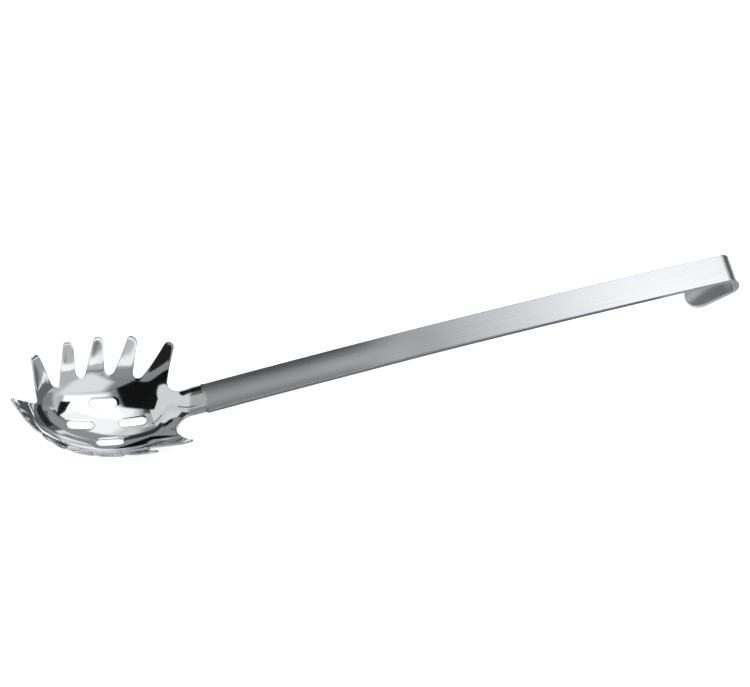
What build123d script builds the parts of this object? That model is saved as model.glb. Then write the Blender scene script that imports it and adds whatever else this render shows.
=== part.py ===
from build123d import *
import os
from math import atan, atan2, cos, degrees, exp, hypot, radians, sin, sqrt, tan

# A stainless pasta server, in millimetres: a pressed head, a weld and a strip handle with a hook.

# Bowl and tines, measured on the head's upper side from the bowl's low point.
HEAD_GAUGE = 1.0
BOWL_LENGTH = 74.0
BOWL_WIDTH = 54.8
BOWL_DEPTH = 7.2
TINE_RISE = 13.2
TIP_ROUND = 2.1

# How far the tips stand out from the bowl's oval in front, beside it and behind.
TINE_REACH_FRONT = 11.0
TINE_REACH_SIDE = 11.8
TINE_REACH_BACK = 23.0

# Tines from the front one backwards: degrees from the handle, share of the tip oval reached, width.
TIP_ANGLES = (180.0, 136.6, 114.2, 96.5, 77.9, 56.9)
TIP_REACH_SHARES = (1.0, 1.02, 1.0, 0.992, 0.993, 1.002)
TIP_WIDTHS = (5.4, 5.9, 5.9, 5.9, 5.9, 5.9)

# How far each tine's front and back flank is hollowed at its middle, from the front tine backwards.
FLANK_HOLLOWS = ((-1.5, -1.5), (0.2, -0.6), (-0.2, -0.1), (-0.1, -0.4), (0.4, 0.3), (0.7, 0.4))

# Round gap bottoms from the front one backwards: degrees from the handle, radius, distance from the bowl.
GAP_ANGLES = (157.7, 128.4, 105.1, 82.4, 59.9)
GAP_RADII = (2.7, 2.5, 2.5, 2.7, 2.7)
GAP_CLEARANCES = (1.0, 0.0, 0.1, 0.5, 0.5)

# Shares that shape the pressing: the dish, the bend at a tine's foot, the level rim past the tips, the neck.
DISH_SHARE = 0.6
TINE_BEND_SHARE = 0.3
LEVEL_SHARE = 1.15
LEVEL_SOFT_SHARE = 0.08
NECK_START_SHARE = 0.54
NECK_SIDE_SHARES = (1.1, 2.9)

# Neck, measured from the bowl's oval to where the strip starts.
NECK_LENGTH = 12.0
NECK_RISE = 8.9
NECK_FILLET_RADIUS = 7.2
NECK_FILLET_CLEARANCE = 3.5

# Drain slots, all parallel to the handle, in a cross.
SLOT_LENGTH = 14.0
SLOT_WIDTH = 5.2
SLOT_PITCH = 13.5

# Handle strip.
STRIP_WIDTH = 18.5
STRIP_GAUGE = 2.0
STRIP_ANGLE = 17.9
STRIP_BOW_RADIUS = 4700.0
STRIP_LENGTH = 276.0
GUTTER_DEPTH = 0.8
GUTTER_LENGTH = 130.0
WELD_WIDTH = 1.6

# Hanging hook.
HOOK_RADIUS = 5.4
HOOK_TURN = 161.0
HOOK_LEG = 24.5
HOOK_END_RADIUS = 9.0

# One overrun serves every cut.
OVERRUN = 4.0

# The oval through the tips, and where the strip starts.
TIP_HALF_LENGTH = BOWL_LENGTH / 2 + (TINE_REACH_FRONT + TINE_REACH_BACK) / 2
TIP_HALF_WIDTH = BOWL_WIDTH / 2 + TINE_REACH_SIDE
TIP_SETBACK = (TINE_REACH_BACK - TINE_REACH_FRONT) / 2
STRIP_START = BOWL_LENGTH / 2 + NECK_LENGTH
STRIP_START_HEIGHT = BOWL_DEPTH + NECK_RISE

# How finely the form is measured, how many sections the gutter has, and how often the tool is tipped anew.
STEPS_ALONG = 36
ROWS_ACROSS = 28
FORM_TOLERANCE = 0.05
GUTTER_STEPS = 6
SETTLE_STEPS = 6

# Share of a quarter round's sides at which its two inner curve points lie.
ROUND_SHARE = 0.5523


def smooth_step(share):
    """A soft step from 0 to 1 with level ends."""
    share = min(max(share, 0.0), 1.0)
    return share ** 3 * (10 - 15 * share + 6 * share ** 2)


def oval_reach(direction, half_length, half_width, setback=0.0):
    """How far an oval lies from the bowl's centre, in one direction."""
    along, across = cos(direction) / half_length, sin(direction) / half_width
    square = along ** 2 + across ** 2
    middle = along * setback / half_length
    edge = (setback / half_length) ** 2 - 1
    return (middle + sqrt(middle ** 2 - square * edge)) / square


def strip_height(x):
    """The height of the strip's edges, run straight forward from its start into the neck."""
    return STRIP_START_HEIGHT + (x - STRIP_START) * tan(radians(STRIP_ANGLE))


def dish_height(x, y):
    """The pressed form without the neck: a shallow bowl whose wall turns up into the tines."""
    half_length, half_width = BOWL_LENGTH / 2, BOWL_WIDTH / 2
    oval = hypot(x / half_length, y / half_width)
    if oval < 1:
        return BOWL_DEPTH * (DISH_SHARE * oval ** 2 + (1 - DISH_SHARE) * oval ** 4)
    direction = atan2(y, x)
    inner = oval_reach(direction, half_length, half_width)
    run = oval_reach(direction, TIP_HALF_LENGTH, TIP_HALF_WIDTH, TIP_SETBACK) - inner
    share = (hypot(x, y) - inner) / run
    past = max(share - LEVEL_SHARE, 0.0)
    share += LEVEL_SOFT_SHARE * (1 - exp(-past / LEVEL_SOFT_SHARE)) - past
    slope = BOWL_DEPTH * (2 * DISH_SHARE + 4 * (1 - DISH_SHARE)) / inner * run / TINE_RISE
    bend = share - TINE_BEND_SHARE * (1 - exp(-share / TINE_BEND_SHARE))
    full_bend = 1 - TINE_BEND_SHARE * (1 - exp(-1 / TINE_BEND_SHARE))
    return BOWL_DEPTH + TINE_RISE * (slope * share + (1 - slope) * bend / full_bend)


def head_height(x, y):
    """The upper side of the head: the dish, blended at its back into the guttered neck."""
    start = NECK_START_SHARE * BOWL_LENGTH / 2
    along = smooth_step((x - start) / (STRIP_START - OVERRUN - start))
    half_width = STRIP_WIDTH / 2
    inner, outer = (share * half_width for share in NECK_SIDE_SHARES)
    beside = 1 - smooth_step((abs(y) - inner) / (outer - inner))
    neck = strip_height(x) - GUTTER_DEPTH * (1 - (y / half_width) ** 2)
    weight = along * beside
    return (1 - weight) * dish_height(x, y) + weight * neck


def unit(x, y):
    length = hypot(x, y)
    return x / length, y / length


def circle_touch(point, centre, radius, side):
    """Where a straight edge from a point touches a round gap; side is 1 or -1."""
    dx, dy = point[0] - centre[0], point[1] - centre[1]
    distance = hypot(dx, dy)
    turn = atan2(dy, dx) + side * atan2(sqrt(distance ** 2 - radius ** 2), radius)
    return centre[0] + radius * cos(turn), centre[1] + radius * sin(turn)


def round_gap(start, centre, radius, end):
    """The arc at the bottom of a gap, between the two touching points."""
    one = unit(start[0] - centre[0], start[1] - centre[1])
    two = unit(end[0] - centre[0], end[1] - centre[1])
    middle = unit(one[0] + two[0], one[1] + two[1])
    return ThreePointArc(start, (centre[0] + radius * middle[0], centre[1] + radius * middle[1]), end)


def oval_place(angle, half_length, half_width, setback=0.0, reach=1.0):
    """A place on an oval, or a share past or short of it."""
    turn = radians(angle)
    return setback + reach * half_length * cos(turn), reach * half_width * sin(turn)


def gap_circle(angle, radius, clearance):
    """The round bottom of a gap, just outside the bowl's oval."""
    x, y = oval_place(angle, BOWL_LENGTH / 2, BOWL_WIDTH / 2)
    along, across = unit(x / BOWL_LENGTH ** 2, y / BOWL_WIDTH ** 2)
    reach = radius + clearance
    return (x + reach * along, y + reach * across), radius


def flank(corner, gap, side, inward, hollow):
    """A tine's flank from its corner to the gap: the point that hollows it, and where it meets the gap."""
    meets = circle_touch(corner, *gap, side)
    middle = ((corner[0] + meets[0]) / 2, (corner[1] + meets[1]) / 2)
    pull = (middle[0] + hollow * inward[0], middle[1] + hollow * inward[1])
    return pull, circle_touch(pull, *gap, side)


def tine_edges(place, axis, width, hollows, before, after):
    """A tine's flank, rounded tip and other flank, from the gap before it to the gap after it."""
    half = width / 2
    across = (-axis[1], axis[0])
    back = (axis[1], -axis[0])
    first = (place[0] + half * across[0], place[1] + half * across[1])
    last = (place[0] - half * across[0], place[1] - half * across[1])
    apex = (place[0] + TIP_ROUND * axis[0], place[1] + TIP_ROUND * axis[1])
    first_pull, start = flank(first, before, -1, back, hollows[0])
    last_pull, end = flank(last, after, 1, across, hollows[1])
    rising = unit(first[0] - first_pull[0], first[1] - first_pull[1])
    falling = unit(last[0] - last_pull[0], last[1] - last_pull[1])
    reach = ROUND_SHARE * TIP_ROUND
    spread = ROUND_SHARE * half
    edges = [
        Bezier(start, first_pull, first),
        Bezier(first, (first[0] + reach * rising[0], first[1] + reach * rising[1]),
               (apex[0] + spread * across[0], apex[1] + spread * across[1]), apex),
        Bezier(apex, (apex[0] - spread * across[0], apex[1] - spread * across[1]),
               (last[0] + reach * falling[0], last[1] + reach * falling[1]), last),
        Bezier(last, last_pull, end),
    ]
    return start, edges, end


def head_outline():
    """The flat outline of the head: eleven tines, ten rounded gaps and the neck, mirrored about its middle."""
    gaps = [gap_circle(*gap) for gap in zip(GAP_ANGLES, GAP_RADII, GAP_CLEARANCES)]
    neck_side = (BOWL_LENGTH / 2 + NECK_FILLET_CLEARANCE, STRIP_WIDTH / 2)
    gaps.append(((neck_side[0], neck_side[1] + NECK_FILLET_RADIUS), NECK_FILLET_RADIUS))
    across_middle = ((gaps[0][0][0], -gaps[0][0][1]), gaps[0][1])
    befores = [across_middle] + gaps[:-1]
    edges = []
    touch = None
    tines = zip(TIP_ANGLES, TIP_REACH_SHARES, TIP_WIDTHS, FLANK_HOLLOWS, befores, gaps)
    for angle, reach, width, hollows, before, after in tines:
        place = oval_place(angle, TIP_HALF_LENGTH, TIP_HALF_WIDTH, TIP_SETBACK, reach)
        middle = ((before[0][0] + after[0][0]) / 2, (before[0][1] + after[0][1]) / 2)
        axis = unit(place[0] - middle[0], place[1] - middle[1])
        start, tine, end = tine_edges(place, axis, width, hollows, before, after)
        if touch is None:
            edges += tine[2:]
        else:
            edges.append(round_gap(touch, *before, start))
            edges += tine
        touch = end
    edges.append(round_gap(touch, *gaps[-1], neck_side))
    edges.append(Line(neck_side, (STRIP_START + OVERRUN, STRIP_WIDTH / 2)))
    edges.append(Line((STRIP_START + OVERRUN, STRIP_WIDTH / 2), (STRIP_START + OVERRUN, 0.0)))
    half = Curve() + edges
    return make_face([half.edges(), mirror(half, about=Plane.XZ).edges()])


def drain_slots():
    """Four slots in a cross, all parallel to the handle."""
    slots = Sketch()
    for x, y in ((SLOT_PITCH, 0), (-SLOT_PITCH, 0), (0, SLOT_PITCH), (0, -SLOT_PITCH)):
        slots += Location((x, y)) * SlotOverall(SLOT_LENGTH, SLOT_WIDTH)
    return slots


def pressed_sheet():
    """The pressed form, cut to the blank's outline and slots and square across at the weld."""
    left = TIP_SETBACK - TIP_HALF_LENGTH - TIP_ROUND - OVERRUN
    right = STRIP_START + 2 * OVERRUN
    side = TIP_HALF_WIDTH + TIP_ROUND + OVERRUN
    rows = []
    for row in range(ROWS_ACROSS + 1):
        y = side * (2 * row / ROWS_ACROSS - 1)
        places = [left + (right - left) * step / STEPS_ALONG for step in range(STEPS_ALONG + 1)]
        rows.append([Vector(x, y, head_height(x, y)) for x in places])
    form = Face.make_surface_from_array_of_points(rows, tol=FORM_TOLERANCE, min_deg=3, max_deg=3)
    sheet = Solid.thicken(form, HEAD_GAUGE, normal_override=(0, 0, -1))
    outline = Plane.XY.offset(-OVERRUN) * (head_outline() - drain_slots())
    blank = extrude(outline, amount=BOWL_DEPTH + 2 * TINE_RISE)
    return sheet & split(blank, bisect_by=strip_plane(0.0), keep=Keep.TOP)


def strip_place(length):
    """Where the strip's edges are after a length along it, and which way they point there."""
    start = radians(STRIP_ANGLE)
    turn = start - length / STRIP_BOW_RADIUS
    x = STRIP_START + STRIP_BOW_RADIUS * (sin(start) - sin(turn))
    z = STRIP_START_HEIGHT + STRIP_BOW_RADIUS * (cos(turn) - cos(start))
    return x, z, turn


def strip_plane(length):
    """The plane square across the strip: its x runs over the strip's width and its y is the strip's up."""
    x, z, turn = strip_place(length)
    return Plane(origin=(x, 0, z), x_dir=(0, -1, 0), z_dir=(-cos(turn), 0, -sin(turn)))


def strip_section(length, gutter, gauge):
    """The strip's section there: both sides are one shallow curve, and the cut edges stand square to it."""
    half = STRIP_WIDTH / 2
    tilt = atan(2 * gutter / half)
    low_side, low_height = half + gauge * sin(tilt), -gauge * cos(tilt)
    low_middle = -2 * (gutter + gauge) - low_height
    section = make_face([
        Bezier((-half, 0), (0, -2 * gutter), (half, 0)),
        Line((half, 0), (low_side, low_height)),
        Bezier((low_side, low_height), (0, low_middle), (-low_side, low_height)),
        Line((-low_side, low_height), (-half, 0)),
    ])
    return strip_plane(length) * section


def weld_bead():
    """The bead between head and handle: flush above, and ground from one gauge to the other below."""
    return loft([strip_section(0.0, GUTTER_DEPTH, HEAD_GAUGE),
                 strip_section(WELD_WIDTH, GUTTER_DEPTH, STRIP_GAUGE)])


def guttered_strip():
    """The strip's first stretch, whose stiffening gutter fades out along it."""
    sections = []
    for step in range(GUTTER_STEPS + 1):
        share = step / GUTTER_STEPS
        length = WELD_WIDTH + (GUTTER_LENGTH - WELD_WIDTH) * share
        depth = GUTTER_DEPTH * (1 - smooth_step(2 * share - 1))
        sections.append(strip_section(length, depth, STRIP_GAUGE))
    return loft(sections)


def strip_point(length, below=0.0):
    """A point of the strip's side view, a depth below its upper side."""
    x, z, turn = strip_place(length)
    return x + below * sin(turn), z - below * cos(turn)


def hook_point(turned, reach, centre):
    """A point of the hook's bend in the side view, after the hook has turned by an angle."""
    start = strip_place(STRIP_LENGTH)[2] + radians(90)
    return centre[0] + reach * cos(start - turned), centre[1] + reach * sin(start - turned)


def hooked_strip():
    """The flat stretch and the hook, drawn from the side and pulled out to the strip's width."""
    centre = strip_point(STRIP_LENGTH, HOOK_RADIUS)
    inside = HOOK_RADIUS - STRIP_GAUGE
    full = radians(HOOK_TURN)
    middle = (GUTTER_LENGTH + STRIP_LENGTH) / 2
    heading = strip_place(STRIP_LENGTH)[2] - full
    leg = (HOOK_LEG * cos(heading), HOOK_LEG * sin(heading))
    outer_end, inner_end = hook_point(full, HOOK_RADIUS, centre), hook_point(full, inside, centre)
    outer_tip = (outer_end[0] + leg[0], outer_end[1] + leg[1])
    inner_tip = (inner_end[0] + leg[0], inner_end[1] + leg[1])
    top_start, top_end = strip_point(GUTTER_LENGTH), strip_point(STRIP_LENGTH)
    low_start, low_end = strip_point(GUTTER_LENGTH, STRIP_GAUGE), strip_point(STRIP_LENGTH, STRIP_GAUGE)
    side_view = make_face([
        ThreePointArc(top_start, strip_point(middle), top_end),
        ThreePointArc(top_end, hook_point(full / 2, HOOK_RADIUS, centre), outer_end),
        Line(outer_end, outer_tip),
        Line(outer_tip, inner_tip),
        Line(inner_tip, inner_end),
        ThreePointArc(inner_end, hook_point(full / 2, inside, centre), low_end),
        ThreePointArc(low_end, strip_point(middle, STRIP_GAUGE), low_start),
        Line(low_start, top_start),
    ])
    strip = extrude(Plane.XZ * side_view, amount=STRIP_WIDTH / 2, both=True)
    tip = Vector((outer_tip[0] + inner_tip[0]) / 2, 0, (outer_tip[1] + inner_tip[1]) / 2)
    corners = strip.edges().filter_by(GeomType.LINE).sort_by_distance(tip)
    corners = [edge for edge in corners if abs(edge.length - STRIP_GAUGE) < STRIP_GAUGE / 100][:2]
    return fillet(corners, radius=HOOK_END_RADIUS)


def lowest(points, tilt):
    """The point that comes lowest when the tool is tipped with its handle down by an angle."""
    return min(points, key=lambda point: point.Z * cos(tilt) - point.X * sin(tilt))


def rest_tilt(head, handle):
    """How far the handle is tipped down when the bowl and the hook both touch a table."""
    head_points = head.tessellate(FORM_TOLERANCE)[0]
    handle_points = handle.tessellate(FORM_TOLERANCE)[0]
    tilt = 0.0
    for _ in range(SETTLE_STEPS):
        bowl, hook = lowest(head_points, tilt), lowest(handle_points, tilt)
        tilt = atan2(hook.Z - bowl.Z, hook.X - bowl.X)
    return tilt


def main():
    pieces = {"head": pressed_sheet(), "neck_weld": weld_bead(), "handle": guttered_strip() + hooked_strip()}
    tilt = degrees(rest_tilt(pieces["head"], pieces["handle"]))
    tipped = {name: Rot(0, tilt, 0) * piece for name, piece in pieces.items()}
    points = [point for piece in tipped.values() for point in piece.tessellate(FORM_TOLERANCE)[0]]
    front, back = min(point.X for point in points), max(point.X for point in points)
    shift = Pos(-(front + back) / 2, 0, -min(point.Z for point in points))
    print("rest tilt", round(tilt, 3), "length", round(back - front, 2))
    print("shift", shift.position)
    centre = strip_point(STRIP_LENGTH, HOOK_RADIUS)
    hook = shift * Rot(0, tilt, 0) * Pos(centre[0], 0, centre[1])
    print("hook bend centre", hook.position, "inner radius", HOOK_RADIUS - STRIP_GAUGE)
    os.makedirs("parts", exist_ok=True)
    for name, piece in tipped.items():
        export_step(shift * piece, f"parts/{name}.step")


main()
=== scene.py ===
# %% [markdown]
# # A pasta server, piece by piece
# The real tool is three pieces of stainless steel: a mirror polished head, pressed from sheet, a weld bead
# ground flush, and a brushed strip handle whose end is bent into a hanging hook.
# The measured solids come in first and stay as they are. Each new piece then takes the place of its solid,
# in the same place and size, and adds what a solid lacks: rounded edges, brush lines and a true polish.

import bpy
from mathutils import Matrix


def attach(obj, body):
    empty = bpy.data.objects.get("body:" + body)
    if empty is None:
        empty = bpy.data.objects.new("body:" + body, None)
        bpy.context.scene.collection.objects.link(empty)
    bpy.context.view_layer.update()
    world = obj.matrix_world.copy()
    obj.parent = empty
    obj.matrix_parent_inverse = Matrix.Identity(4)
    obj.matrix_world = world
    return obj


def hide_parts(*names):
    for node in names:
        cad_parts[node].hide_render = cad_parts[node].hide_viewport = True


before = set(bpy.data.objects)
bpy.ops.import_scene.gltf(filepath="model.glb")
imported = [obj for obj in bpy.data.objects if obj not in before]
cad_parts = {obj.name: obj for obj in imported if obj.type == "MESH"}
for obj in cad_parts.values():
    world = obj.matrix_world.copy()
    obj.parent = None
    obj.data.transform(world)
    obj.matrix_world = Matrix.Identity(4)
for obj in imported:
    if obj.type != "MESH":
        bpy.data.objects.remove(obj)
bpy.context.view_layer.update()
print("solids:", sorted(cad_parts))

# %% Modules and millimetres
from math import cos, pi, radians, sin, tan

import bmesh
import bpy
import numpy as np
from mathutils import Matrix, Vector
from mathutils.geometry import delaunay_2d_cdt

MM = 0.001
TOLERANCE = 0.01  # millimetres within which two places count as the same
print("one millimetre here:", MM, "m")


# %% [markdown]
# ## Camera
# The photo looks down on the tool from its near side through a long lens, with the camera rolled so that the
# handle climbs to the right. The view direction is given by three angles, and the camera then stands back
# along it until the tool fills the picture as it does in the photo.

# %% Camera
VIEW_AZIMUTH = -2.917
VIEW_ELEVATION = 48.125
VIEW_ROLL = -10.365
VIEW_TARGET = Vector((-1.27, 0, 20.02)) * MM
VIEW_DISTANCE = 1894 * MM
LENS = 177.6
SENSOR_WIDTH = 36
SIGHT_END = 20

across = radians(VIEW_AZIMUTH)
above = radians(VIEW_ELEVATION)
back = Vector((sin(across) * cos(above), -cos(across) * cos(above), sin(above)))
bpy.ops.object.camera_add(location=VIEW_TARGET + VIEW_DISTANCE * back)
camera = bpy.context.object
camera.name = "photo_camera"
camera.matrix_world = (Matrix.Translation(camera.location)
                       @ back.to_track_quat("Z", "Y").to_matrix().to_4x4()
                       @ Matrix.Rotation(radians(VIEW_ROLL), 4, "Z"))
camera.data.lens = LENS
camera.data.sensor_width = SENSOR_WIDTH
camera.data.clip_end = SIGHT_END
bpy.context.scene.camera = camera
print("camera at", [round(v, 3) for v in camera.location])


# %% [markdown]
# ## Measures of the pressed head
# The head is measured in its own frame: x runs from the bowl's low point to the handle, y across, z up.
# These are the sizes of the solid, so that the finished head lies on it. The tilt and the shift at the end
# place the head's frame in the picture's: the tool lies on its bowl and its hook, and so it is tipped back
# a little.

# %% Measures
BOWL_HALF = np.array((37.0, 27.4))
BOWL_DEPTH = 7.2
TINE_RISE = 13.2
TIP_HALF = np.array((54.0, 39.2))
TIP_SETBACK = 6.0
TIP_ROUND = 2.1
TIP_ANGLES = (180, 136.6, 114.2, 96.5, 77.9, 56.9)
TIP_REACHES = (1.0, 1.02, 1.0, 0.992, 0.993, 1.002)
TIP_WIDTHS = (5.4, 5.9, 5.9, 5.9, 5.9, 5.9)
HOLLOWS = ((-1.5, -1.5), (0.2, -0.6), (-0.2, -0.1), (-0.1, -0.4), (0.4, 0.3), (0.7, 0.4))
GAP_ANGLES = (157.7, 128.4, 105.1, 82.4, 59.9)
GAP_RADII = (2.7, 2.5, 2.5, 2.7, 2.7)
GAP_CLEARANCES = (1.0, 0.0, 0.1, 0.5, 0.5)
NECK_FILLET = 7.2
NECK_PLACE = 40.5
STRIP_START = 49.0
STRIP_HEIGHT = 16.1
STRIP_ANGLE = radians(17.9)
STRIP_HALF = 9.25
STRIP_GAUGE = 2.0
HEAD_GAUGE = 1.0
GUTTER = 0.8
REST_TILT = radians(14.032)
REST_SHIFT = Vector((-144.629, 0, 4.406))

TO_REST = Matrix.Scale(MM, 4) @ Matrix.Translation(REST_SHIFT) @ Matrix.Rotation(REST_TILT, 4, "Y")
print("bowl", 2 * BOWL_HALF, "mm, strip", 2 * STRIP_HALF, "mm wide")


# %% [markdown]
# ## The blank
# Before it is pressed, the head is a flat blank: eleven tines round an oval, and four slots. Its outline is
# drawn as a maker would scribe it, from a few circles and tine ends, tine by tine round one half, and then
# mirrored. Points stand about half a millimetre apart along it, close enough for a smooth mirror finish.

# %% Small drawing helpers
def unit(v):
    return v / np.hypot(*v)


def arc(centre, radius, start, end, step):
    """Points round a circle from one angle to another, the end left out."""
    count = max(2, round(abs(end - start) * radius / step))
    turns = start + (end - start) * np.arange(count) / count
    return [centre + radius * np.array((cos(t), sin(t))) for t in turns]


def bezier(a, b, c, d, step):
    """Points along a curve that leaves a towards b and reaches d from c, the end left out."""
    count = max(2, round(np.hypot(*(d - a)) / step))
    return [(1 - s) ** 3 * a + 3 * s * (1 - s) ** 2 * b + 3 * s * s * (1 - s) * c + s ** 3 * d
            for s in np.arange(count) / count]


def bow(a, b, c, step):
    """Points along a shallow curve from a to c that is pulled towards b, the end left out."""
    return bezier(a, (a + 2 * b) / 3, (2 * b + c) / 3, c, step)


def line(a, b, step):
    """Points along a straight edge, the end left out."""
    count = max(1, round(np.hypot(*(b - a)) / step))
    return [a + (b - a) * s for s in np.arange(count) / count]


# %% Gaps and tine ends
POINT_STEP = 0.55
ROUND_SHARE = 0.5523  # how far a curve's handles reach when it draws a quarter of a circle


def gap_circle(angle, radius, clearance):
    """The round bottom of a gap, just outside the bowl's oval."""
    turn = radians(angle)
    place = BOWL_HALF * (cos(turn), sin(turn))
    return place + (radius + clearance) * unit(place / BOWL_HALF ** 2), radius


def touch_angle(point, circle, side):
    """Where round its circle a gap's bottom runs out into a straight edge from a point."""
    away = point - circle[0]
    return np.arctan2(away[1], away[0]) + side * np.arccos(circle[1] / np.hypot(*away))


def on_circle(circle, turn):
    return circle[0] + circle[1] * np.array((cos(turn), sin(turn)))


def flank(corner, circle, side, inward, hollow):
    """A tine's flank: the point that hollows it, and where round its circle the gap takes over."""
    meets = on_circle(circle, touch_angle(corner, circle, side))
    pull = (corner + meets) / 2 + hollow * inward
    return pull, touch_angle(pull, circle, side)


gaps = [gap_circle(*gap) for gap in zip(GAP_ANGLES, GAP_RADII, GAP_CLEARANCES)]
gaps.append((np.array((NECK_PLACE, STRIP_HALF + NECK_FILLET)), NECK_FILLET))
front_mirror = (gaps[0][0] * (1, -1), gaps[0][1])

tines = []
for angle, reach, width, hollow, before, after in zip(TIP_ANGLES, TIP_REACHES, TIP_WIDTHS, HOLLOWS,
                                                      [front_mirror] + gaps, gaps):
    turn = radians(angle)
    place = np.array((TIP_SETBACK, 0)) + reach * TIP_HALF * (cos(turn), sin(turn))
    axis = unit(place - (before[0] + after[0]) / 2)
    side = np.array((-axis[1], axis[0]))
    tine = {"first": place + width / 2 * side, "last": place - width / 2 * side,
            "apex": place + TIP_ROUND * axis, "spread": ROUND_SHARE * width / 2 * side}
    tine["first_pull"], tine["start"] = flank(tine["first"], before, -1, -side, hollow[0])
    tine["last_pull"], tine["end"] = flank(tine["last"], after, 1, side, hollow[1])
    tines.append(tine)
print("tines on one side:", len(tines))

# %% Walk round half of the outline, and mirror it
NECK_SPARE = 4.0  # the blank runs past the weld, and is cut square there after pressing
NECK_END = STRIP_START + NECK_SPARE


def tine_end(tine, before, after, half=False):
    """A tine's edge from the gap before it to the gap after it; half starts at its tip."""
    first, last, apex = tine["first"], tine["last"], tine["apex"]
    reach = ROUND_SHARE * TIP_ROUND
    points = []
    if not half:
        points += bow(on_circle(before, tine["start"]), tine["first_pull"], first, POINT_STEP)
        points += bezier(first, first + reach * unit(first - tine["first_pull"]),
                         apex + tine["spread"], apex, POINT_STEP)
    points += bezier(apex, apex - tine["spread"], last + reach * unit(last - tine["last_pull"]),
                     last, POINT_STEP)
    return points + bow(last, tine["last_pull"], on_circle(after, tine["end"]), POINT_STEP)


outline = []
for n, (tine, after) in enumerate(zip(tines, gaps)):
    before = gaps[n - 1] if n else front_mirror
    outline += tine_end(tine, before, after, half=(n == 0))
    start = tine["end"]
    end = tines[n + 1]["start"] if n + 1 < len(tines) else -pi / 2
    while end < start:
        end += 2 * pi
    if end - start > pi * 1.5:
        end -= 2 * pi
    outline += arc(*after, start, end, POINT_STEP)
outline += line(np.array((NECK_PLACE, STRIP_HALF)), np.array((NECK_END, STRIP_HALF)), POINT_STEP)
corner = np.array((NECK_END, STRIP_HALF))
outline += line(corner, corner * (1, -1), POINT_STEP)[:1]
other = [p * (1, -1) for p in outline[1:]][::-1]
outline = np.array(outline + other)
print("outline points:", len(outline))

# %% Slots
SLOT_HALF_LENGTH = 7.0
SLOT_RADIUS = 2.6
SLOT_PLACES = ((13.5, 0), (-13.5, 0), (0, 13.5), (0, -13.5))


def slot_outline(x, y):
    """A slot's edge: two straight sides and two round ends."""
    side, r = SLOT_HALF_LENGTH - SLOT_RADIUS, SLOT_RADIUS
    points = line(np.array((x - side, y - r)), np.array((x + side, y - r)), POINT_STEP)
    points += arc(np.array((x + side, y)), r, -pi / 2, pi / 2, POINT_STEP)
    points += line(np.array((x + side, y + r)), np.array((x - side, y + r)), POINT_STEP)
    points += arc(np.array((x - side, y)), r, pi / 2, 3 * pi / 2, POINT_STEP)
    return np.array(points)


loops = [outline] + [slot_outline(x, y) for x, y in SLOT_PLACES]
print("slots:", len(SLOT_PLACES))


# %% [markdown]
# ## Filling the blank
# A mirror shows every uneven face, so the blank is filled with even triangles: rows of points follow the
# edges inwards, a honeycomb of points fills the rest, and one call joins them all.
# Blender's own fill would leave long thin triangles, and a subdivided cage would not hold eleven measured
# tines, so this sheet is filled from points. From here on it is shaped with ordinary tools.

# %% Distance to the edges
VERY_FAR = 1e9
edge_points = np.concatenate(loops)
starts, ends = [], []
offset = 0
for loop in loops:
    ids = offset + np.arange(len(loop))
    starts += list(ids)
    ends += list(np.roll(ids, -1))
    offset += len(loop)
edge_a, edge_b = edge_points[starts], edge_points[ends]
print("edges round the blank and its slots:", len(starts))


def edge_distance(points):
    """How far each flat point lies from the nearest cut edge, the neck's far end not counted."""
    result = np.full(len(points), VERY_FAR)
    along = edge_b - edge_a
    square = (along ** 2).sum(1)
    at_neck_end = (edge_a[:, 0] > NECK_END - TOLERANCE) & (edge_b[:, 0] > NECK_END - TOLERANCE)
    counted = np.flatnonzero(~at_neck_end)
    for i in counted:
        t = np.clip(((points - edge_a[i]) @ along[i]) / square[i], 0, 1)
        d = np.hypot(*(points - edge_a[i] - t[:, None] * along[i]).T)
        result = np.minimum(result, d)
    return result


def inside(points):
    """Which flat points lie on the sheet, by counting the edges to one side of them."""
    count = np.zeros(len(points), int)
    for a, b in zip(edge_a, edge_b):
        spans = (a[1] > points[:, 1]) != (b[1] > points[:, 1])
        with np.errstate(divide="ignore", invalid="ignore"):
            x = a[0] + (points[:, 1] - a[1]) / (b[1] - a[1]) * (b[0] - a[0])
        count += spans & (x > points[:, 0])
    return count % 2 == 1


# %% Rows along the edges and a honeycomb between them
ROWS = (0.45, 0.95, 1.5, 2.1)
ROW_SLACK = 0.02
CELL = 0.75
CELL_CLEARANCE = 0.35
HONEYCOMB = 0.866  # how far its rows stand apart, as a share of its cells
SHEET_FRONT = -50
SHEET_SIDE = 42
NECK_CLEARANCE = 0.3

candidates = []
for loop in loops:
    tangent = np.roll(loop, -1, 0) - np.roll(loop, 1, 0)
    normal = np.stack((-tangent[:, 1], tangent[:, 0]), 1) / np.hypot(*tangent.T)[:, None]
    for row in ROWS:
        for sign in (1, -1):
            candidates.append(loop + sign * row * normal)
row_count = len(candidates)
for n, y in enumerate(np.arange(-SHEET_SIDE, SHEET_SIDE, CELL * HONEYCOMB)):
    xs = np.arange(SHEET_FRONT, NECK_END, CELL) + (n % 2) * CELL / 2
    candidates.append(np.stack((xs, np.full(len(xs), y)), 1))
ranks = [(k // 2) % len(ROWS) if k < row_count else len(ROWS) for k in range(len(candidates))]
rank = np.repeat(ranks, [len(c) for c in candidates])
least = np.append(np.array(ROWS) - ROW_SLACK, ROWS[-1] + CELL_CLEARANCE)
points = np.concatenate(candidates)
keep = inside(points)
points, rank = points[keep], rank[keep]
keep = (edge_distance(points) > least[rank]) & (points[:, 0] < NECK_END - NECK_CLEARANCE)
points, rank = points[keep], rank[keep]
points = points[np.argsort(rank, kind="stable")]
print("candidates, the outermost row first:", len(points))

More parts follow.
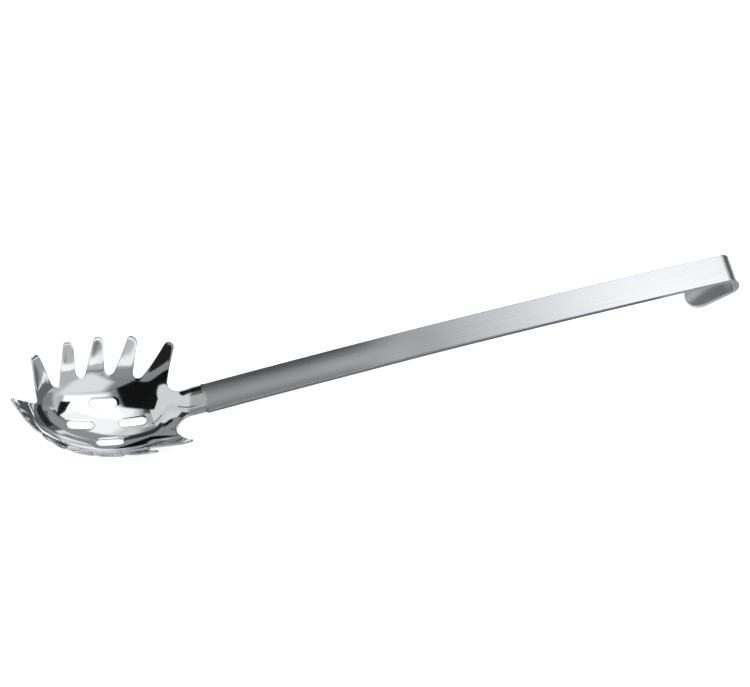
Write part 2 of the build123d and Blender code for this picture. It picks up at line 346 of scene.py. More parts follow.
# %% Thin out what stands too close
SPARE = 0.46
taken = {}
kept = []
for x, y in points:
    key = (int(x // SPARE), int(y // SPARE))
    near = [q for i in (-1, 0, 1) for j in (-1, 0, 1)
            for q in taken.get((key[0] + i, key[1] + j), ())]
    if all((x - q[0]) ** 2 + (y - q[1]) ** 2 > SPARE ** 2 for q in near):
        taken.setdefault(key, []).append((x, y))
        kept.append((x, y))
print("points inside the blank:", len(kept))

# %% Join them into the flat blank
KEEP_EDGES = 2  # the call's way of keeping the cut edges whole
SAME_POINT = 1e-7

flat = [Vector(p) for p in edge_points] + [Vector(p) for p in kept]
joined = delaunay_2d_cdt(flat, list(zip(starts, ends)), [], KEEP_EDGES, SAME_POINT)
flat_points = np.array([tuple(p) for p in joined[0]])
triangles = [tuple(t) for t in joined[2]]
middles = flat_points[np.array(triangles)].mean(1)
triangles = [t for t, ok in zip(triangles, inside(middles)) if ok]
mesh = bpy.data.meshes.new("polished_head")
mesh.from_pydata([(x, y, 0) for x, y in flat_points], [], triangles)
head = bpy.data.objects.new("polished_head", mesh)
bpy.context.scene.collection.objects.link(head)
print("blank:", len(mesh.vertices), "points,", len(mesh.polygons), "triangles")


# %% [markdown]
# ## Pressing
# The press turns the flat blank into a shallow oval bowl whose wall bends up into the tines, and whose back
# runs out into the guttered neck. One formula gives the height at each place, so the sheet is smooth all
# over, as a pressed and polished one is. The cut edges roll over a hair, as a die leaves them.

# %% The pressed form
DISH = 0.6  # the share of the bowl's depth that is a plain dish; the rest steepens towards the rim
BEND = 0.3  # how far up the wall its bend reaches, as a share of the way to the tips
LEVEL = 1.15  # where past the tips the wall stops rising, as a share of the same way
LEVEL_SOFT = 0.08
NECK_BLEND = 0.54  # where the neck begins to form, as a share of the bowl's half length
NECK_DONE = 45.0
NECK_SIDES = (1.1, 2.9)  # where beside the middle the neck fades out, in half widths of the strip


def smooth_step(share):
    """Eases from 0 to 1 without a kink in slope or curve at either end."""
    share = np.clip(share, 0, 1)
    return share ** 3 * (10 - 15 * share + 6 * share ** 2)


def oval_reach(cosine, sine, half, setback=0.0):
    """How far an oval lies from the bowl's centre in a direction."""
    along, over = cosine / half[0], sine / half[1]
    square = along ** 2 + over ** 2
    middle = along * setback / half[0]
    return (middle + np.sqrt(middle ** 2 - square * ((setback / half[0]) ** 2 - 1))) / square


def dish_height(x, y):
    """The height of the bowl, its wall and its tines, which level out at their tips."""
    oval = np.hypot(x / BOWL_HALF[0], y / BOWL_HALF[1])
    away = np.maximum(np.hypot(x, y), 1e-6)
    inner = oval_reach(x / away, y / away, BOWL_HALF)
    run = oval_reach(x / away, y / away, TIP_HALF, TIP_SETBACK) - inner
    share = (away - inner) / run
    past = np.maximum(share - LEVEL, 0)
    share = share + LEVEL_SOFT * (1 - np.exp(-past / LEVEL_SOFT)) - past
    slope = BOWL_DEPTH * (2 * DISH + 4 * (1 - DISH)) / inner * run / TINE_RISE
    bend = share - BEND * (1 - np.exp(-np.maximum(share, 0) / BEND))
    full_bend = 1 - BEND * (1 - np.exp(-1 / BEND))
    wall = BOWL_DEPTH + TINE_RISE * (slope * share + (1 - slope) * bend / full_bend)
    return np.where(oval < 1, BOWL_DEPTH * (DISH * oval ** 2 + (1 - DISH) * oval ** 4), wall)


def head_height(x, y):
    """The height of the whole head: the bowl, blended into the guttered neck."""
    start = NECK_BLEND * BOWL_HALF[0]
    along = smooth_step((x - start) / (NECK_DONE - start))
    beside = 1 - smooth_step((np.abs(y) / STRIP_HALF - NECK_SIDES[0]) / (NECK_SIDES[1] - NECK_SIDES[0]))
    neck = STRIP_HEIGHT + (x - STRIP_START) * tan(STRIP_ANGLE) - GUTTER * (1 - (y / STRIP_HALF) ** 2)
    return (1 - along * beside) * dish_height(x, y) + along * beside * neck


print("rim", BOWL_DEPTH, "mm over the bowl's low point, tine ends about", TINE_RISE, "mm over the rim")


# %% Press the blank
ROLL_WIDTH = 1.3  # how far in from a cut edge the sheet begins to roll over
ROLL_DROP = 0.12

flat_now = np.zeros(len(mesh.vertices) * 3)
mesh.vertices.foreach_get("co", flat_now)
flat_now = flat_now.reshape(-1, 3)
rolled = ROLL_DROP * np.clip(1 - edge_distance(flat_now[:, :2]) / ROLL_WIDTH, 0, 1) ** 2
flat_now[:, 2] = head_height(flat_now[:, 0], flat_now[:, 1]) - rolled
mesh.vertices.foreach_set("co", flat_now.ravel())
mesh.update()
print("pressed", round(float(np.ptp(flat_now[:, 2])), 1), "mm deep")


# %% [markdown]
# ## Thickness, the weld's edge and the polished edges
# Solidify gives the sheet its gauge with walls square to it. The neck is then cut square across the strip, as
# it is before welding, and the sheet's edges get a small round, as polishing leaves them. The edges at the
# weld stay sharp, or a groove would show there.

# %% Helpers for working on one piece
SHARP = radians(50)
ROUND_SEGMENTS = 3


def only(piece):
    """Selects one piece and nothing else, and makes it the active one."""
    bpy.ops.object.select_all(action="DESELECT")
    piece.select_set(True)
    bpy.context.view_layer.objects.active = piece


def finish_modifier(piece, kind, **settings):
    """Adds a modifier with its settings and applies it."""
    only(piece)
    modifier = piece.modifiers.new(kind.lower(), kind)
    for name, value in settings.items():
        setattr(modifier, name, value)
    bpy.ops.object.modifier_apply(modifier=modifier.name)


def round_edges(piece, width, at_weld):
    """Rounds a piece's sharp edges a little, except where it meets the weld."""
    work = bmesh.new()
    work.from_mesh(piece.data)
    layer = work.edges.layers.float.new("bevel_weight_edge")
    for edge in work.edges:
        welded = all(at_weld(v.co) for v in edge.verts)
        if len(edge.link_faces) == 2 and not welded and edge.calc_face_angle() > SHARP:
            edge[layer] = 1
    work.to_mesh(piece.data)
    work.free()
    finish_modifier(piece, "BEVEL", width=width, segments=ROUND_SEGMENTS, limit_method="WEIGHT",
                    use_clamp_overlap=False)


# %% Thicken, cut the neck square and round the edges
HEAD_ROUND = 0.28
ON_PLANE = 1e-3
HEAD_SMOOTH = radians(40)

finish_modifier(head, "SOLIDIFY", thickness=HEAD_GAUGE, offset=-1, use_even_offset=True)
bpy.ops.object.mode_set(mode="EDIT")
bpy.ops.mesh.select_all(action="SELECT")
cut_normal = Vector((cos(STRIP_ANGLE), 0, sin(STRIP_ANGLE)))
cut_place = Vector((STRIP_START, 0, STRIP_HEIGHT))
bpy.ops.mesh.bisect(plane_co=cut_place, plane_no=cut_normal, use_fill=True, clear_outer=True)
bpy.ops.object.mode_set(mode="OBJECT")
round_edges(head, HEAD_ROUND, lambda point: abs((point - cut_place).dot(cut_normal)) < ON_PLANE)
mesh = head.data
mesh.transform(TO_REST)
only(head)
bpy.ops.object.shade_smooth_by_angle(angle=HEAD_SMOOTH)
print("head:", len(mesh.polygons), "faces, box", [round(v / MM, 2) for v in head.dimensions])


# %% [markdown]
# ## Strip handle
# The handle is one strip of 2 mm sheet with a shallow gutter near the bowl that stiffens it, a long gentle
# bow, and a far end bent back into a hook. It is made here in the workshop's order, lying straight: the
# section is pulled out along x, spun round a near centre for the hook, the last leg is pulled out and its
# corners are rounded. The gutter and the bow are rolled in last, since lengths are easy to read on a
# straight strip.

# %% Strip measures
BOW_RADIUS = 4700.0
WELD_WIDTH = 1.6
STRIP_LENGTH = 276.0
GUTTER_LENGTH = 130.0
HOOK_RADIUS = 5.4
HOOK_TURN = radians(161)
HOOK_LEG = 24.5
CORNER_RADIUS = 9.0
ACROSS_STEPS = 24
BOW_STEPS = 92
HOOK_STEPS = 44
CORNER_STEPS = 16
STRIP_ROUND = 0.32
STRIP_SMOOTH = radians(35)
print("strip", STRIP_LENGTH, "mm to the bend, hook turned", round(HOOK_TURN / radians(1)), "degrees")

# %% Pull out the strip
bpy.ops.mesh.primitive_grid_add(x_subdivisions=ACROSS_STEPS, y_subdivisions=1, size=1)
strip = bpy.context.object
strip.name = "brushed_handle"
stand_up = Matrix(((0, 0, -1, 0), (1, 0, 0, 0), (0, 1, 0, 0), (0, 0, 0, 1)))
strip.data.transform(Matrix.Translation((WELD_WIDTH, 0, -STRIP_GAUGE / 2)) @ stand_up
                     @ Matrix.Diagonal((2 * STRIP_HALF, STRIP_GAUGE, 1, 1)))
bpy.ops.object.mode_set(mode="EDIT")
bpy.ops.mesh.select_all(action="SELECT")
for _ in range(BOW_STEPS):
    step = ((STRIP_LENGTH - WELD_WIDTH) / BOW_STEPS, 0, 0)
    bpy.ops.mesh.extrude_region_move(TRANSFORM_OT_translate={"value": step})

# %% Bend the hook and pull out its leg
bend_centre = Vector((STRIP_LENGTH, 0, -HOOK_RADIUS))
leg_heading = Vector((cos(HOOK_TURN), 0, -sin(HOOK_TURN)))
bpy.ops.mesh.spin(steps=HOOK_STEPS, angle=HOOK_TURN, center=bend_centre, axis=(0, -1, 0))
bpy.ops.mesh.extrude_region_move(TRANSFORM_OT_translate={"value": HOOK_LEG * leg_heading})
bpy.ops.object.mode_set(mode="OBJECT")
print("straight strip with hook", [round(v, 2) for v in strip.dimensions])

# %% Round the free end's corners
MERGE_DISTANCE = 0.001
FLAT_ANGLE = radians(1)


def at_leg_end(point):
    """Whether a point lies on the cut at the free end of the hook."""
    reach = (point - bend_centre).dot(leg_heading)
    return abs(reach - HOOK_LEG) < 2 * TOLERANCE and point.z < -2 * STRIP_GAUGE


bpy.ops.object.mode_set(mode="EDIT")
bpy.ops.mesh.select_mode(type="FACE")
bpy.ops.mesh.select_all(action="DESELECT")
work = bmesh.from_edit_mesh(strip.data)
for face in work.faces:
    if any(at_leg_end(v.co) for v in face.verts):
        face.select_set(True)
bmesh.update_edit_mesh(strip.data)
bpy.ops.mesh.dissolve_limited(angle_limit=FLAT_ANGLE)
bpy.ops.mesh.select_mode(type="EDGE")
bpy.ops.mesh.select_all(action="DESELECT")
work = bmesh.from_edit_mesh(strip.data)
for edge in work.edges:
    one, two = (v.co for v in edge.verts)
    if at_leg_end(one) and at_leg_end(two) and abs(one.y - two.y) < TOLERANCE:
        edge.select_set(True)
print("corner edges:", sum(e.select for e in work.edges))
bmesh.update_edit_mesh(strip.data)
bpy.ops.mesh.bevel(offset=CORNER_RADIUS, segments=CORNER_STEPS, affect="EDGES", clamp_overlap=False)
bpy.ops.mesh.select_mode(type="VERT")
bpy.ops.mesh.select_all(action="SELECT")
bpy.ops.mesh.remove_doubles(threshold=MERGE_DISTANCE)
bpy.ops.mesh.normals_make_consistent(inside=False)
bpy.ops.object.mode_set(mode="OBJECT")
print("strip:", len(strip.data.polygons), "faces")


# %% [markdown]
# The strip's sheared edges are broken by a small round. A map of length and width is then laid on it while
# it is straight, so that brush lines can follow it round the hook, and the gutter and the bow are rolled in.

# %% Break the edges and map the strip
def unrolled(point):
    """How far along the strip a point lies, the hook's bend and leg rolled out straight."""
    x, z = point[0] - STRIP_LENGTH, point[2] + HOOK_RADIUS
    if z > HOOK_RADIUS - STRIP_GAUGE - TOLERANCE and x <= 0:
        return point[0]
    past = x * leg_heading.x + z * leg_heading.z
    if past > 0 and x * leg_heading.z - z * leg_heading.x < 0:
        return STRIP_LENGTH + HOOK_TURN * HOOK_RADIUS + past
    return STRIP_LENGTH + HOOK_RADIUS * (np.arctan2(x, z) % (2 * pi))


round_edges(strip, STRIP_ROUND, lambda point: point.x < WELD_WIDTH + TOLERANCE)
layer = strip.data.uv_layers.new(name="along_strip")
straight = np.array([v.co for v in strip.data.vertices])
lengths = np.array([unrolled(p) for p in straight])
for loop in strip.data.loops:
    layer.data[loop.index].uv = (lengths[loop.vertex_index] * MM, straight[loop.vertex_index][1] * MM)
print("rolled out length", round(float(lengths.max()), 1))

# %% Roll in the gutter and the bow
def strip_point(length, height):
    """A place on the bowed strip: a length along it and a height above its upper side's edges."""
    turn = STRIP_ANGLE - length / BOW_RADIUS
    x = STRIP_START + BOW_RADIUS * (sin(STRIP_ANGLE) - np.sin(turn))
    z = STRIP_HEIGHT + BOW_RADIUS * (np.cos(turn) - cos(STRIP_ANGLE))
    return x - height * np.sin(turn), z + height * np.cos(turn)


def guttered(y, height, depth):
    """A section's point once its gutter is rolled in: the wall stays square to the sheet."""
    lean = np.arctan(2 * depth * y / STRIP_HALF ** 2)
    dip = depth * (1 - (y / STRIP_HALF) ** 2)
    return y - height * np.sin(lean), height * np.cos(lean) - dip


on_strip = straight[:, 2] > -STRIP_GAUGE - TOLERANCE
depth = np.where(on_strip, GUTTER * (1 - smooth_step(2 * straight[:, 0] / GUTTER_LENGTH - 1)), 0)
width, height = guttered(straight[:, 1], straight[:, 2], depth)
x, z = strip_point(np.minimum(straight[:, 0], STRIP_LENGTH), height)
below = straight[:, 2] < -STRIP_GAUGE - TOLERANCE
past_end = below | (straight[:, 0] > STRIP_LENGTH)
end_turn = STRIP_ANGLE - STRIP_LENGTH / BOW_RADIUS
end_x, end_z = strip_point(STRIP_LENGTH, 0)
ahead = straight[:, 0] - STRIP_LENGTH
x = np.where(past_end, end_x + ahead * cos(end_turn) - straight[:, 2] * sin(end_turn), x)
z = np.where(past_end, end_z + ahead * sin(end_turn) + straight[:, 2] * cos(end_turn), z)
strip.data.vertices.foreach_set("co", np.stack((x, width, z), 1).ravel())
strip.data.transform(TO_REST)
strip.data.update()
only(strip)
bpy.ops.object.shade_smooth_by_angle(angle=STRIP_SMOOTH)
places = np.array([v.co for v in strip.data.vertices])
print("handle from", places.min(0).round(4), "to", places.max(0).round(4))


# %% [markdown]
# ## Weld bead
# Between head and handle a bead of weld is ground flush above and tapers below from the sheet's gauge to the
# strip's. A strip section as wide as the handle is pulled back to the head, and its underside raised there.

# %% Weld bead
BEAD_ROUND = 0.3

bpy.ops.mesh.primitive_grid_add(x_subdivisions=ACROSS_STEPS, y_subdivisions=1, size=1)
bead = bpy.context.object
bead.name = "ground_weld"
bead.data.transform(Matrix.Translation((0, 0, -HEAD_GAUGE / 2)) @ stand_up
                    @ Matrix.Diagonal((2 * STRIP_HALF, HEAD_GAUGE, 1, 1)))
bpy.ops.object.mode_set(mode="EDIT")
bpy.ops.mesh.select_all(action="SELECT")
bpy.ops.mesh.extrude_region_move(TRANSFORM_OT_translate={"value": (WELD_WIDTH, 0, 0)})
work = bmesh.from_edit_mesh(bead.data)
for vertex in work.verts:
    if vertex.co.x > WELD_WIDTH / 2 and vertex.co.z < -HEAD_GAUGE / 2:
        vertex.co.z = -STRIP_GAUGE
bmesh.update_edit_mesh(bead.data)
bpy.ops.mesh.select_all(action="SELECT")
bpy.ops.mesh.normals_make_consistent(inside=False)
bpy.ops.object.mode_set(mode="OBJECT")
round_edges(bead, BEAD_ROUND, lambda point: point.x < TOLERANCE or point.x > WELD_WIDTH - TOLERANCE)
places = np.array([v.co for v in bead.data.vertices])
width, height = guttered(places[:, 1], places[:, 2], GUTTER)
x, z = strip_point(places[:, 0], height)
bead.data.vertices.foreach_set("co", np.stack((x, width, z), 1).ravel())
bead.data.transform(TO_REST)
bead.data.update()
only(bead)
bpy.ops.object.shade_smooth_by_angle(angle=STRIP_SMOOTH)
print("bead faces:", len(bead.data.polygons))


# %% [markdown]
# ## Materials
# All three finishes are the same stainless steel, and differ only in how the surface was worked. Polishing
# leaves a mirror with a faint haze, brushing leaves fine lines along the strip, and grinding leaves short
# cross lines on the weld. The steel itself is a nearly neutral grey, a touch cool, and the rest of what the
# eye sees on it is reflection.

# %% Colours and nodes
def linear(hex_code):
    """An sRGB hex colour as the linear values that shaders take."""
    parts = [int(hex_code[i:i + 2], 16) / 255 for i in (1, 3, 5)]
    return [c / 12.92 if c <= 0.04045 else ((c + 0.055) / 1.055) ** 2.4 for c in parts] + [1]


def add(tree, kind, links=None, **settings):
    """Adds a node, sets its properties and sockets, and links its inputs."""
    node = tree.nodes.new(kind)
    for name, value in settings.items():
        if name in node.bl_rna.properties:
            setattr(node, name, value)
        else:
            node.inputs[name.replace("_", " ")].default_value = value
    for name, output in (links or {}).items():
        tree.links.new(output, node.inputs[name])
    return node


def new_material(name):
    """A material with an empty node tree."""
    material = bpy.data.materials.new(name)
    material.use_nodes = True
    material.node_tree.nodes.clear()
    return material, material.node_tree


def give(piece, material):
    """Makes a material the piece's only one."""
    piece.data.materials.clear()
    piece.data.materials.append(material)
    print(piece.name, "has", material.name)


# %% Mirror polished stainless steel
# To the eye a mirror, but not a perfect one: a haze that comes and goes every few millimetres softens the
# reflections a little more here than there, and a grit too fine to see takes the glassy edge off them.
HAZE_SIZE = 3 * MM
GRIT_SIZE = 0.6 * MM
GRIT_DEPTH = 0.002 * MM

polished, tree = new_material("mirror_polished_stainless_steel")
place = add(tree, "ShaderNodeTexCoord")
haze = add(tree, "ShaderNodeTexNoise", {"Vector": place.outputs["Object"]}, Scale=1 / HAZE_SIZE, Detail=3.0)
rough = add(tree, "ShaderNodeMapRange", {"Value": haze.outputs["Fac"]}, To_Min=0.035, To_Max=0.075)
grit = add(tree, "ShaderNodeTexNoise", {"Vector": place.outputs["Object"]}, Scale=1 / GRIT_SIZE, Detail=2.0)
bump = add(tree, "ShaderNodeBump", {"Height": grit.outputs["Fac"]}, Strength=0.05, Distance=GRIT_DEPTH)
steel = add(tree, "ShaderNodeBsdfPrincipled",
            {"Roughness": rough.outputs["Result"], "Normal": bump.outputs["Normal"]},
            Base_Color=linear("#CCCED1"), Metallic=1.0)
add(tree, "ShaderNodeOutputMaterial", {"Surface": steel.outputs["BSDF"]})
give(head, polished)

# %% Brushed stainless steel
# To the eye a satin grey streaked along the strip. The lines spread each reflection across them, so the
# gutter shows as one soft dark band and one bright one, and no shape of the room can be made out.
LINE_LENGTH = 60 * MM
LINE_WIDTH = 0.6 * MM
LINE_DEPTH = 0.006 * MM

brushed, tree = new_material("brushed_stainless_steel")
place = add(tree, "ShaderNodeUVMap", uv_map="along_strip")
tangent = add(tree, "ShaderNodeTangent", direction_type="UV_MAP", uv_map="along_strip")
stretch = add(tree, "ShaderNodeMapping", {"Vector": place.outputs["UV"]},
              Scale=(1 / LINE_LENGTH, 1 / LINE_WIDTH, 1))
lines = add(tree, "ShaderNodeTexNoise", {"Vector": stretch.outputs["Vector"]},
            Scale=1.0, Detail=4.0, Roughness=0.65)
rough = add(tree, "ShaderNodeMapRange", {"Value": lines.outputs["Fac"]}, To_Min=0.17, To_Max=0.27)
tint = add(tree, "ShaderNodeMix", {"Factor": lines.outputs["Fac"]}, data_type="RGBA")
for name, code in (("A_Color", "#B1B4B8"), ("B_Color", "#D9DADC")):
    socket = next(s for s in tint.inputs if s.identifier == name)
    socket.default_value = linear(code)
tint_out = next(s for s in tint.outputs if s.identifier == "Result_Color")
bump = add(tree, "ShaderNodeBump", {"Height": lines.outputs["Fac"]}, Strength=0.1, Distance=LINE_DEPTH)
steel = add(tree, "ShaderNodeBsdfPrincipled",
            {"Roughness": rough.outputs["Result"], "Normal": bump.outputs["Normal"],
             "Tangent": tangent.outputs["Tangent"], "Base Color": tint_out},
            Metallic=1.0, Anisotropic=0.8, Anisotropic_Rotation=0.25)
add(tree, "ShaderNodeOutputMaterial", {"Surface": steel.outputs["BSDF"]})
give(strip, brushed)

# %% Ground weld
# To the eye a narrow satin band between the mirror and the brushed strip: the grinder's short lines run
# across the neck, so the bead is duller than the head and lies the other way from the strip's lines.
GRIND_WIDTH = 0.25 * MM
GRIND_LENGTH = 3 * MM
GRIND_DEPTH = 0.005 * MM

ground, tree = new_material("ground_stainless_steel_weld")
place = add(tree, "ShaderNodeTexCoord")
stretch = add(tree, "ShaderNodeMapping", {"Vector": place.outputs["Object"]},
              Scale=(1 / GRIND_WIDTH, 1 / GRIND_LENGTH, 1 / GRIND_LENGTH))
lines = add(tree, "ShaderNodeTexNoise", {"Vector": stretch.outputs["Vector"]}, Scale=1.0, Detail=3.0)
rough = add(tree, "ShaderNodeMapRange", {"Value": lines.outputs["Fac"]}, To_Min=0.14, To_Max=0.26)
bump = add(tree, "ShaderNodeBump", {"Height": lines.outputs["Fac"]}, Strength=0.15, Distance=GRIND_DEPTH)
steel = add(tree, "ShaderNodeBsdfPrincipled",
            {"Roughness": rough.outputs["Result"], "Normal": bump.outputs["Normal"]},
            Base_Color=linear("#C8CBCF"), Metallic=1.0)
add(tree, "ShaderNodeOutputMaterial", {"Surface": steel.outputs["BSDF"]})
give(bead, ground)


# %% [markdown]
# ## Floor and studio
# The tool lies on plain white paper in a white room. Polished steel shows little but its surroundings, so the
# room is dressed as a photographer would dress it: white and pale grey panels round the tool, and dark grey
# and black cards where the photo's reflections are dark. Grey cards laid on the paper are painted shadow, the
# tool's shade on the paper as the steel shows it. The cards are seen only in the steel, and light nothing.

# %% Floor
# The paper glows a little for the camera and for reflections, so that it fades into the white background
# and no horizon shows. The light that falls on it still leaves the tool's soft shadow.
FLOOR_SIZE = 8
FLOOR_GLOW = 0.6

bpy.ops.mesh.primitive_plane_add(size=FLOOR_SIZE)
floor = bpy.context.object
floor.name = "floor"
white, tree = new_material("white_floor_paper")
path = add(tree, "ShaderNodeLightPath")
straight_on = add(tree, "ShaderNodeMath",
                  {0: path.outputs["Is Camera Ray"], 1: path.outputs["Is Transmission Ray"]}, operation="ADD")
seen = add(tree, "ShaderNodeMath", {0: straight_on.outputs[0], 1: path.outputs["Is Glossy Ray"]},
           operation="ADD")
lift = add(tree, "ShaderNodeMath", {0: seen.outputs[0]}, operation="MULTIPLY")
lift.inputs[1].default_value = FLOOR_GLOW
paper = add(tree, "ShaderNodeBsdfDiffuse", Color=linear("#F6F6F6"))
glow = add(tree, "ShaderNodeEmission", {"Strength": lift.outputs[0]}, Color=(1, 1, 1, 1))
both = add(tree, "ShaderNodeAddShader", {0: paper.outputs[0], 1: glow.outputs[0]})
add(tree, "ShaderNodeOutputMaterial", {"Surface": both.outputs[0]})
give(floor, white)


# %% Cards that only the steel sees
SOFT_EDGE = 0.04


def card(name, corners, strength, soft=SOFT_EDGE):
    """A flat card that only reflections see: its strength is its brightness, and its edge fades out."""
    corners = np.array(corners)
    middle = corners.mean(0)
    count = len(corners)
    ring = list(range(count))
    sheet = bpy.data.meshes.new(name)
    sheet.from_pydata([middle + (p - middle) * share for share in (1 - soft, 1 + soft) for p in corners], [],
                      [ring] + [(i, (i + 1) % count, (i + 1) % count + count, i + count) for i in ring])
    cover = sheet.attributes.new("cover", "FLOAT", "POINT")
    cover.data.foreach_set("value", [1.0] * count + [0.0] * count)
    piece = bpy.data.objects.new(name, sheet)
    bpy.context.scene.collection.objects.link(piece)
    finish, tree = new_material(name)
    shown = add(tree, "ShaderNodeAttribute", attribute_name="cover")
    clear = add(tree, "ShaderNodeBsdfTransparent")
    glow = add(tree, "ShaderNodeEmission", Color=(1, 1, 1, 1), Strength=strength)
    mixed = add(tree, "ShaderNodeMixShader",
                {0: shown.outputs["Fac"], 1: clear.outputs[0], 2: glow.outputs[0]})
    add(tree, "ShaderNodeOutputMaterial", {"Surface": mixed.outputs[0]})
    sheet.materials.append(finish)
    piece.visible_camera = piece.visible_diffuse = piece.visible_shadow = False
    piece.visible_transmission = piece.visible_volume_scatter = False


# %% Places for the cards
BOWL_PLACE = np.array((-0.145, 0, 0.01))


def direction(compass, height):
    """A unit step towards a compass angle, counted from the far side, and a height angle."""
    a, e = radians(compass), radians(height)
    return np.array((sin(a) * cos(e), cos(a) * cos(e), sin(e)))


def seen_from_bowl(distance, *angles):
    """A card's corners in the directions in which the bowl sees them."""
    return [BOWL_PLACE + distance * direction(*pair) for pair in angles]


def overhead(height, *places):
    """The corners of a level card above the bowl, given in shares of its height."""
    return [BOWL_PLACE + height * np.array((x, y, 1)) for x, y in places]


def level_card(height, west, south, east, north):
    """The corners of a level card, between its four edges and at a height, all in metres."""
    return [(west, south, height), (east, south, height), (east, north, height), (west, north, height)]


# %% [markdown]
# The cards come in four groups: pale ones beyond the tool, which the bowl's floor and the handle show; dark
# and grey ones low down and overhead, which give the bowl its contrast; a few by the hook, and grey ones on
# the paper that are painted shadow of the tool, which the hook and the outsides show; and those on the
# camera's side, which the far wall and its tines show.
# Wide panels stand farther away than narrow ones, or their middles would hide them.

# %% Panels and cards beyond the tool
card("grey_panel_far_left", seen_from_bowl(2.1, (-72, 28), (16, 28), (16, 58), (-72, 58)), 1.0, 0.1)
card("white_panel_far_right", seen_from_bowl(1.28, (19, 28), (52, 28), (50, 60), (16, 60)), 1.45, 0.16)
card("grey_card_far_middle", seen_from_bowl(1.25, (-11, 40), (4, 40), (4, 62), (-11, 62)), 0.62, 0.25)
card("grey_bar_far_middle", seen_from_bowl(1.24, (8, 40), (13, 40), (14, 60), (8, 60)), 0.6, 0.4)
card("dark_card_far_middle", seen_from_bowl(1.2, (-11, 55), (10, 55), (10, 66), (-11, 66)), 0.1, 0.25)
card("grey_card_far_lower", seen_from_bowl(1.25, (-12, 27), (8, 27), (8, 38), (-12, 38)), 0.35, 0.35)
card("white_panel_over_hook", level_card(0.9, 0.18, 0.1, 0.7, 0.9), 2.3, 0.2)

# %% Dark and grey cards low down and overhead
card("dark_card_far_side", seen_from_bowl(1.1, (-29, 20), (14, 20), (12, 31), (-24, 32)), 0.05)
card("grey_card_far_low", seen_from_bowl(1.15, (-45, 0), (30, 0), (30, 20), (-45, 20)), 0.38)
card("grey_card_right", seen_from_bowl(1.18, (12, 21), (68, 21), (68, 31), (12, 31)), 0.42, 0.1)
card("grey_card_low_right", seen_from_bowl(1.2, (30, 0), (105, 0), (105, 14), (30, 14)), 0.22, 0.06)
card("grey_card_right_end", seen_from_bowl(1.2, (64, 15), (90, 15), (90, 36), (64, 36)), 0.35, 0.15)
card("dark_card_low_right", seen_from_bowl(1.0, (38, 13), (70, 18), (70, 24), (40, 22)), 0.03)
card("black_card_far_right", seen_from_bowl(0.8, (48, 33), (72, 43), (68, 50), (52, 42)), 0.01)
card("black_card_overhead", overhead(0.8, (-0.63, 0.47), (-0.37, 0.66), (0.28, 0.50), (0.25, -0.08),
                                     (0.02, -0.30), (-0.40, -0.14)), 0.01)
card("black_bar_far_left", seen_from_bowl(1.05, (-33, 36), (-5, 40), (-5, 41.5), (-33, 37.5)), 0.05)
card("black_card_at_camera", seen_from_bowl(1.1, (192, 52), (215, 50), (220, 62), (204, 64)), 0.02)

# %% Cards by the hook, and painted shadow on the paper
card("dark_card_past_hook", [(0.7, -0.3, 0.05), (0.7, 0.5, 0.05), (0.7, 0.5, 0.45), (0.7, -0.3, 0.45)], 0.2)
card("dark_card_behind_hook",
     [(0.7, 0.5, 0.05), (0.42, 0.85, 0.05), (0.42, 0.85, 0.72), (0.7, 0.5, 0.72)], 0.16)
# The three grey cards lying on the paper are painted shadow: seen only in the steel, they darken the paper
# beside the bowl, beside the handle and under the hook, where the tool's shade falls.
card("painted_shadow_by_bowl", level_card(0.0003, -0.5, -0.4, 0.5, -0.012), 0.5)
card("painted_shadow_by_handle", level_card(0.0005, -0.1, -0.07, 0.15, -0.008), 0.22, 0.01)
card("painted_shadow_under_hook", level_card(0.0005, 0, 0, 0.17, 0.15), 0.45)

# %% Panels and bars on the camera's side
card("grey_card_near_side", seen_from_bowl(2.4, (88, 3), (188, 3), (188, 36), (88, 36)), 0.7, 0.12)
card("white_panel_near_right", seen_from_bowl(1.45, (86, 40), (146, 40), (140, 68), (86, 68)), 1.15, 0.2)
card("white_bar_near_right", seen_from_bowl(1.3, (127, 5), (159, 27), (159, 31), (127, 10)), 1.5, 0.25)
card("white_bar_near_side", seen_from_bowl(1.3, (157, 26), (186, 47), (186, 52), (157, 30)), 1.4, 0.25)
card("grey_bar_near_side", seen_from_bowl(1.35, (146, 28), (190, 54), (190, 64), (146, 36)), 0.4, 0.3)
card("dark_bar_near_side", seen_from_bowl(1.35, (144, 11), (168, 21), (168, 30), (144, 18)), 0.22, 0.3)
card("grey_bar_near_left", seen_from_bowl(1.35, (124, 2), (135, 4), (135, 13), (124, 12)), 0.35, 0.3)
print("meshes so far, cards and floor among them:", len(bpy.data.meshes))

# %% World and lamp
# The camera sees a plain white background. Reflections see walls that are brightest at the horizon and
# darken overhead. The soft box lights only the paper, and leaves a soft shadow under the tool.
WALLS_AT_HORIZON = 1.1
WALLS_OVERHEAD = 0.35
FADE_START = 0.35
FADE_END = 0.95
SKY_ON_PAPER = 0.75
LAMP_PLACE = (0.1, 0.5, 1.4)
LAMP_SIZE = 1.0
LAMP_POWER = 8

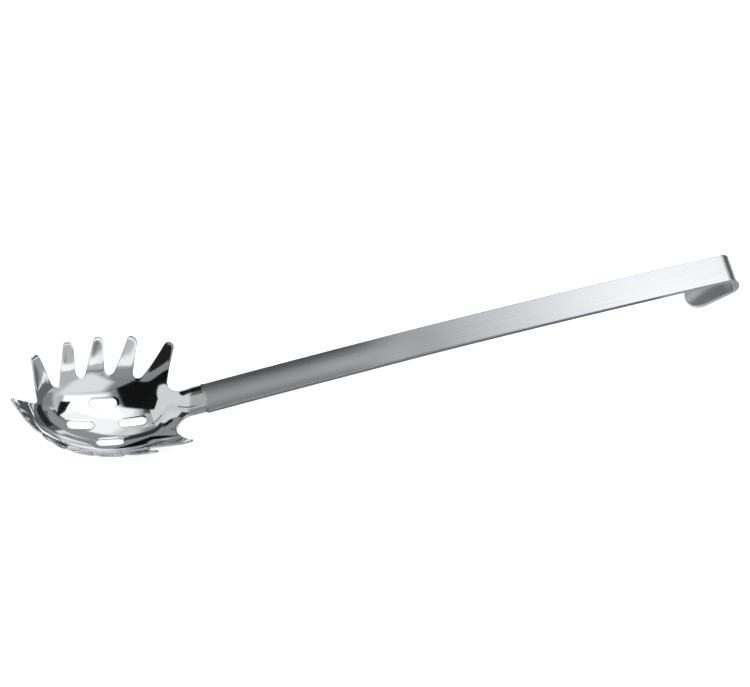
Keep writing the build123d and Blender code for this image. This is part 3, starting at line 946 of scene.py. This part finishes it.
world = bpy.data.worlds.new("white_room")
bpy.context.scene.world = world
world.use_nodes = True
tree = world.node_tree
tree.nodes.clear()
path = add(tree, "ShaderNodeLightPath")
way = add(tree, "ShaderNodeTexCoord")
height = add(tree, "ShaderNodeSeparateXYZ", {0: way.outputs["Generated"]})
walls = add(tree, "ShaderNodeMapRange", {"Value": height.outputs["Z"]}, interpolation_type="SMOOTHSTEP",
            From_Min=FADE_START, From_Max=FADE_END, To_Min=WALLS_AT_HORIZON, To_Max=WALLS_OVERHEAD)
glossy = add(tree, "ShaderNodeMath", {0: path.outputs["Is Glossy Ray"], 1: walls.outputs["Result"]},
             operation="MULTIPLY")
straight_on = add(tree, "ShaderNodeMath",
                  {0: path.outputs["Is Camera Ray"], 1: path.outputs["Is Transmission Ray"]}, operation="ADD")
seen = add(tree, "ShaderNodeMath", {0: straight_on.outputs[0], 1: glossy.outputs[0]}, operation="ADD")
rest = add(tree, "ShaderNodeMath", {0: path.outputs["Is Diffuse Ray"]}, operation="MULTIPLY")
rest.inputs[1].default_value = SKY_ON_PAPER
level = add(tree, "ShaderNodeMath", {0: seen.outputs[0], 1: rest.outputs[0]}, operation="ADD")
sky = add(tree, "ShaderNodeBackground", {"Strength": level.outputs[0]}, Color=(1, 1, 1, 1))
add(tree, "ShaderNodeOutputWorld", {"Surface": sky.outputs["Background"]})
bpy.ops.object.light_add(type="AREA", location=LAMP_PLACE)
lamp = bpy.context.object
lamp.name = "soft_box"
lamp.data.size = LAMP_SIZE
lamp.data.energy = LAMP_POWER
lamp.visible_glossy = False
lamp.matrix_world = (Matrix.Translation(lamp.location)
                     @ Vector(lamp.location).to_track_quat("Z", "Y").to_matrix().to_4x4())
bpy.context.scene.view_settings.view_transform = "Standard"
print("lamp at", LAMP_PLACE, "m,", LAMP_POWER, "W")


# %% [markdown]
# ## Tying the pieces to the solids
# Each finished piece takes the place of its solid and rides on the tool's one body.

# %% Tie the pieces to the frame
for piece, node, finish in ((head, "head", "polished_steel"), (bead, "neck_weld", "ground_weld"),
                            (strip, "handle", "brushed_steel")):
    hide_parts(node)
    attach(piece, "root")
